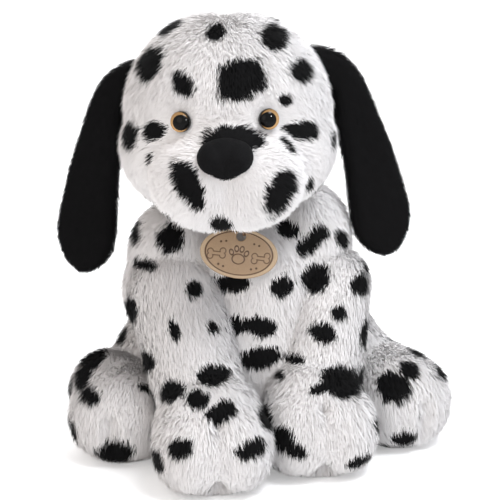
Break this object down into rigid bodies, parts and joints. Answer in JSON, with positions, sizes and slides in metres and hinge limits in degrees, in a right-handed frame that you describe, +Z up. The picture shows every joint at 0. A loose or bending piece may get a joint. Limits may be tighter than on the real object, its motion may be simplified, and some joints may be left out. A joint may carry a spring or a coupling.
{
  "type": "plush dog",
  "caption": "Sitting plush puppy in white spotted fur with black floppy ears, safety eyes, nose pad, jointed limbs, turning head and a leather chest tag.",
  "frame": {"origin": "on the floor, at the middle of the flat patch that the dog sits on", "axes": "+Z up, the dog faces -Y, its left side is +X"},
  "size_m": [0.2284, 0.2207, 0.265],
  "materials": {
    "spotted_fur": "white plush pile with scattered black spots",
    "black_fur": "short dense black plush pile",
    "stuffing": "white polyester fibre filling",
    "clear_dome": "clear glossy dome over an amber iris and a black pupil",
    "black_plastic": "moulded black plastic",
    "washer_plastic": "white moulded plastic",
    "black_nose": "fine short black velour",
    "tan_leather": "smooth tan leatherette with a pressed border and paw motif",
    "thread": "waxed brown thread"
  },
  "bodies": {
    "torso": {"torso_stuffing": "stuffing", "belly_panel": "spotted_fur", "back_panel_left": "spotted_fur", "back_panel_right": "spotted_fur", "seat_panel": "spotted_fur", "tag_loop": "thread"},
    "neck": {"neck_fur": "spotted_fur", "neck_stuffing": "stuffing"},
    "head": {"side_face_left": "spotted_fur", "side_face_right": "spotted_fur", "throat_panel": "spotted_fur", "head_gusset": "spotted_fur", "muzzle_panel": "spotted_fur", "chin_panel": "spotted_fur", "eye_base_left": "black_plastic", "eye_base_right": "black_plastic", "eye_dome_left": "clear_dome", "eye_dome_right": "clear_dome", "eye_washer_left": "washer_plastic", "eye_washer_right": "washer_plastic", "head_stuffing": "stuffing", "nose_pad": "black_nose"},
    "ear_left": {"ear_left_front": "black_fur", "ear_left_back": "black_fur"},
    "ear_right": {"ear_right_front": "black_fur", "ear_right_back": "black_fur"},
    "foreleg_left": {"foreleg_left_fur": "spotted_fur", "foreleg_left_stuffing": "stuffing"},
    "foreleg_right": {"foreleg_right_fur": "spotted_fur", "foreleg_right_stuffing": "stuffing"},
    "hind_leg_left": {"hind_leg_left_fur": "spotted_fur", "hind_leg_left_stuffing": "stuffing"},
    "hind_leg_right": {"hind_leg_right_fur": "spotted_fur", "hind_leg_right_stuffing": "stuffing"},
    "tail": {"tail_fur": "spotted_fur", "tail_stuffing": "stuffing"},
    "tag": {"leather_tag": "tan_leather"}
  },
  "joints": [
    {"name": "neck_turn", "type": "hinge", "parent": "torso", "child": "neck", "pos_m": [-0.008, -0.004, 0.152], "axis": [0, 0, 1], "range_deg": [-15, 15], "stiffness_Nm_per_rad": 1.2},
    {"name": "head_nod", "type": "hinge", "parent": "neck", "child": "head", "pos_m": [-0.008, -0.004, 0.152], "axis": [0.9842, -0.1735, 0.0349], "range_deg": [-12, 4], "stiffness_Nm_per_rad": 1.5},
    {"name": "ear_right_lift", "type": "hinge", "parent": "head", "child": "ear_right", "pos_m": [-0.06846, 0.00581, 0.22569], "axis": [0.4225, 0.9063, 0.009], "range_deg": [0, 65]},
    {"name": "ear_left_lift", "type": "hinge", "parent": "head", "child": "ear_left", "pos_m": [0.03054, -0.01165, 0.2342], "axis": [0.087, -0.9962, 0.009], "range_deg": [0, 65]},
    {"name": "foreleg_right_raise", "type": "hinge", "parent": "torso", "child": "foreleg_right", "pos_m": [-0.0505, -0.014, 0.098], "axis": [-1, 0, 0], "range_deg": [0, 15], "stiffness_Nm_per_rad": 1},
    {"name": "foreleg_left_raise", "type": "hinge", "parent": "torso", "child": "foreleg_left", "pos_m": [0.0435, -0.014, 0.098], "axis": [-1, 0, 0], "range_deg": [0, 15], "stiffness_Nm_per_rad": 1},
    {"name": "hind_leg_right_spread", "type": "hinge", "parent": "torso", "child": "hind_leg_right", "pos_m": [-0.044, 0.024, 0.042], "axis": [0, 0, -1], "range_deg": [0, 25], "stiffness_Nm_per_rad": 1},
    {"name": "hind_leg_left_spread", "type": "hinge", "parent": "torso", "child": "hind_leg_left", "pos_m": [0.044, 0.024, 0.042], "axis": [0, 0, 1], "range_deg": [0, 25], "stiffness_Nm_per_rad": 1},
    {"name": "tail_wag", "type": "hinge", "parent": "torso", "child": "tail", "pos_m": [0, 0.05506, 0.03725], "axis": [0, 0, 1], "range_deg": [-20, 20], "stiffness_Nm_per_rad": 0.3},
    {"name": "tag_flip", "type": "hinge", "parent": "torso", "child": "tag", "pos_m": [-0.01314, -0.03609, 0.13639], "axis": [-0.9646, 0.2451, 0.0969], "range_deg": [0, 35]}
  ]
}
